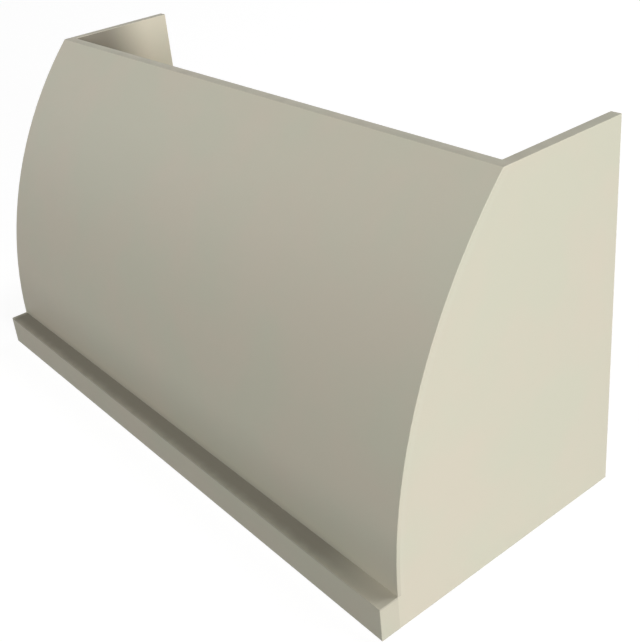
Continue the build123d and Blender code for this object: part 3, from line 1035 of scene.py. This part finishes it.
def rib_beads(arc, stringer_spans):
    """Beads up both sides of each rib, between the sill and the stringers."""
    (middle_low, middle_high), (upper_low, _) = stringer_spans
    margin = BEAD_MARGIN / arc[2]
    beads = []
    for rib in RIBS:
        low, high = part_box(rib)
        for x, outward in ((low.x, -1), (high.x, 1)):
            for start, end in ((0, middle_low), (middle_high, upper_low)):
                angles = np.linspace(start + margin, end - margin, BEAD_ROWS)
                corner, inward, _ = on_arc(x, angles, arc)
                aside = np.tile([outward, 0.0, 0.0], (BEAD_ROWS, 1))
                beads.append(glue_bead(corner, aside, inward, len(beads)))
    return beads


def stringer_beads(arc, stringer_spans):
    """Beads along both edges of each stringer, from rib to rib."""
    stops = [-PANEL_INNER_X, *(end.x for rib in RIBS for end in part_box(rib)), PANEL_INNER_X]
    beads = []
    for low_angle, high_angle in stringer_spans:
        for angle, outward in ((low_angle, -1), (high_angle, 1)):
            for start, end in zip(stops[::2], stops[1::2]):
                xs = np.linspace(start + BEAD_MARGIN, end - BEAD_MARGIN, BEAD_ROWS)
                corner, inward, upward = on_arc(xs, angle, arc)
                bead = glue_bead(corner, outward * upward, inward, STRINGER_BEAD_STEP * len(beads))
                beads.append(bead)
    return beads


def block_beads(arc):
    """Beads along the two long edges of each glue block, on the sill and on the skin."""
    beads = []
    back = np.tile([0.0, 1.0, 0.0], (BEAD_ROWS, 1))
    slope = np.tile([0.0, -1.0, 1.0], (BEAD_ROWS, 1)) / 2**0.5
    for points in separate_solids("front_glue_blocks"):
        low, high = points.min(axis=0), points.max(axis=0)
        xs = np.linspace(low[0] + BEAD_MARGIN / 2, high[0] - BEAD_MARGIN / 2, BEAD_ROWS)
        foot = np.stack([xs, 0 * xs + high[1], 0 * xs + low[2]], axis=-1)
        beads.append(glue_bead(foot, back, slope, BLOCK_BEAD_STEP * len(beads)))
        corner, _, upward = on_arc(xs, np.arcsin((high[2] - arc[1]) / arc[2]), arc)
        beads.append(glue_bead(corner, upward, -slope, BLOCK_BEAD_STEP * len(beads)))
    return beads


class HOOD_OT_make_glue(bpy.types.Operator):
    """Makes the beads of dried glue squeezed out along the ribs, the stringers and the glue blocks"""

    bl_idname = "hood.make_glue"
    bl_label = "Make the Glue"

    def execute(self, context):
        material, tree, point = new_material("dried_glue")
        cloud = tree.ramp(tree.noise(point, 120.0, 3.0), 0.35, 0.65)
        colour = tree.mix(cloud, GLUE_PALE, GLUE_DARK)
        height = tree.times(tree.noise(point, 700.0), 0.1 * MILLIMETRE)
        finish_material(tree, colour, tree.ramp(cloud, 0.0, 1.0, 0.24, 0.4), height)
        arc = front_arc()
        spans = [span_on_arc(node, arc) for node in ("middle_stringer", "upper_stringer")]
        lines = {
            "rib_glue": rib_beads(arc, spans),
            "stringer_glue": stringer_beads(arc, spans),
            "block_glue": block_beads(arc),
        }
        for name, beads in lines.items():
            build_tubes(name, np.array(beads), material, sharp_angle=radians(60))
        return {"FINISHED"}


# -------- stage

# Half the floor's width, and how far it lies below the cover
FLOOR_REACH = 60.0
FLOOR_DROP = 0.5 * MILLIMETRE
FLOOR_GREY = (0.2, 0.2, 0.2)
WHITE = (1.0, 1.0, 1.0)

# Each lamp as seen from the cover: degrees from its right side round to its front, degrees up, its width and
# its distance
LAMPS = {
    "key": (12.0, 9.0, 2.5, 10.0),
    "front": (78.7, 53.7, 0.6, 2.584),
    "left": (145.0, 20.0, 6.0, 10.0),
    "high": (-55.0, 60.0, 2.5, 10.0),
    "rear": (-98.0, 8.0, 2.5, 10.0),
}


def add_lamp(name, level, aim):
    """A square lamp aimed at a point; its level is the light on a face square to it, where 1 shows white."""
    lamp = bpy.data.lights.new(name, "AREA")
    lamp.shape = "SQUARE"
    round_right, up, lamp.size, distance = LAMPS[name]
    round_right, up = radians(round_right), radians(up)
    lamp.energy = level * pi**2 * distance**2
    towards = Vector((cos(up) * cos(round_right), -cos(up) * sin(round_right), sin(up)))
    holder = add_object(name, lamp)
    holder.location = aim + towards * distance
    holder.rotation_euler = (-towards).to_track_quat("-Z", "Y").to_euler()


def seen_directly(tree):
    """1 for rays that show the surroundings themselves: from the camera, in a gloss, or through glass."""
    path = tree.node("ShaderNodeLightPath").outputs
    glossy = tree.math("MAXIMUM", path["Is Glossy Ray"], path["Is Transmission Ray"])
    return tree.math("MAXIMUM", path["Is Camera Ray"], glossy)


class HOOD_OT_set_stage(bpy.types.Operator):
    """Sets up the pale floor, the white surroundings, the lamps and the camera"""

    bl_idname = "hood.set_stage"
    bl_label = "Set the Stage"

    def execute(self, context):
        stage = context.scene.hood_stage
        scene = context.scene
        scene.view_settings.view_transform = "Standard"

        world = bpy.data.worlds.new("studio")
        world.use_nodes = True
        world.node_tree.nodes.clear()
        tree = Tree(world.node_tree)
        white_level = (1 + stage.floor_glow) / 2
        plain = tree.node("ShaderNodeBackground", {"Color": WHITE, "Strength": stage.surround_level})
        white = tree.node("ShaderNodeBackground", {"Color": WHITE, "Strength": white_level})
        shaders = {0: seen_directly(tree), 1: plain.outputs[0], 2: white.outputs[0]}
        both = tree.node("ShaderNodeMixShader", shaders)
        tree.node("ShaderNodeOutputWorld", {"Surface": both.outputs[0]})
        scene.world = world

        corners = np.array([[-1, -1, 0], [1, -1, 0], [1, 1, 0], [-1, 1, 0]]) * FLOOR_REACH
        corners[:, 2] -= FLOOR_DROP
        mesh = bpy.data.meshes.new("studio_floor")
        mesh.from_pydata(corners.tolist(), [], [(0, 1, 2, 3)])
        material, tree, _ = new_material("studio_floor")
        matt = tree.node("ShaderNodeBsdfDiffuse", {"Color": FLOOR_GREY})
        glow_level = tree.times(seen_directly(tree), stage.floor_glow)
        glow = tree.node("ShaderNodeEmission", {"Color": WHITE, "Strength": glow_level})
        total = tree.node("ShaderNodeAddShader", {0: matt.outputs[0], 1: glow.outputs[0]})
        tree.node("ShaderNodeOutputMaterial", {"Surface": total.outputs[0]})
        mesh.materials.append(material)
        floor = add_object("studio_floor", mesh)

        low, high = cad_box
        aim = (low + high) / 2
        for name in LAMPS:
            add_lamp(name, getattr(stage, f"{name}_level"), aim)

        camera = bpy.data.cameras.new("photo_camera")
        long_side = max(PHOTO_WIDTH, PHOTO_HEIGHT)
        centre_x, centre_y = stage.picture_centre
        camera.lens = stage.focal_pixels * camera.sensor_width / long_side
        camera.shift_x = (PHOTO_WIDTH / 2 - centre_x) / long_side
        camera.shift_y = (centre_y - PHOTO_HEIGHT / 2) / long_side
        scene.camera = add_object("photo_camera", camera)
        yaw = Matrix.Rotation(stage.camera_yaw, 4, "Z")
        pitch = Matrix.Rotation(pi / 2 - stage.camera_pitch, 4, "X")
        roll = Matrix.Rotation(stage.camera_roll, 4, "Z")
        scene.camera.matrix_world = Matrix.Translation(stage.camera_place) @ (yaw @ pitch @ roll)
        return {"FINISHED"}


class HOOD_PT_cover(bpy.types.Panel):
    """The steps that finish the cover, in order"""

    bl_label = "Hood Cover"
    bl_idname = "HOOD_PT_cover"
    bl_space_type = "VIEW_3D"
    bl_region_type = "UI"
    bl_category = "Hood Cover"

    def draw(self, context):
        for step in STEPS:
            self.layout.operator(step.bl_idname)
        for key, group in SETTINGS.items():
            for name in group.__annotations__:
                self.layout.prop(getattr(context.scene, key), name)


SETTINGS = {"hood_paint": PaintSettings, "hood_wood": WoodSettings, "hood_stage": StageSettings}
STEPS = (
    HOOD_OT_paint_shell,
    HOOD_OT_finish_inner_skin,
    HOOD_OT_finish_boards,
    HOOD_OT_finish_ribs,
    HOOD_OT_make_screws,
    HOOD_OT_make_dowels,
    HOOD_OT_make_glue,
    HOOD_OT_set_stage,
)


def register():
    for group in (*SETTINGS.values(), *STEPS, HOOD_PT_cover):
        bpy.utils.register_class(group)
    for name, group in SETTINGS.items():
        setattr(bpy.types.Scene, name, PointerProperty(type=group))


def unregister():
    for name in SETTINGS:
        delattr(bpy.types.Scene, name)
    for group in reversed((*SETTINGS.values(), *STEPS, HOOD_PT_cover)):
        bpy.utils.unregister_class(group)


def main():
    """Registers the add-on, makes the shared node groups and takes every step."""
    register()
    for make_group in GROUP_MAKERS:
        make_group()
    for step in STEPS:
        family, action = step.bl_idname.split(".")
        getattr(getattr(bpy.ops, family), action)()


if __name__ == "__main__":
    main()
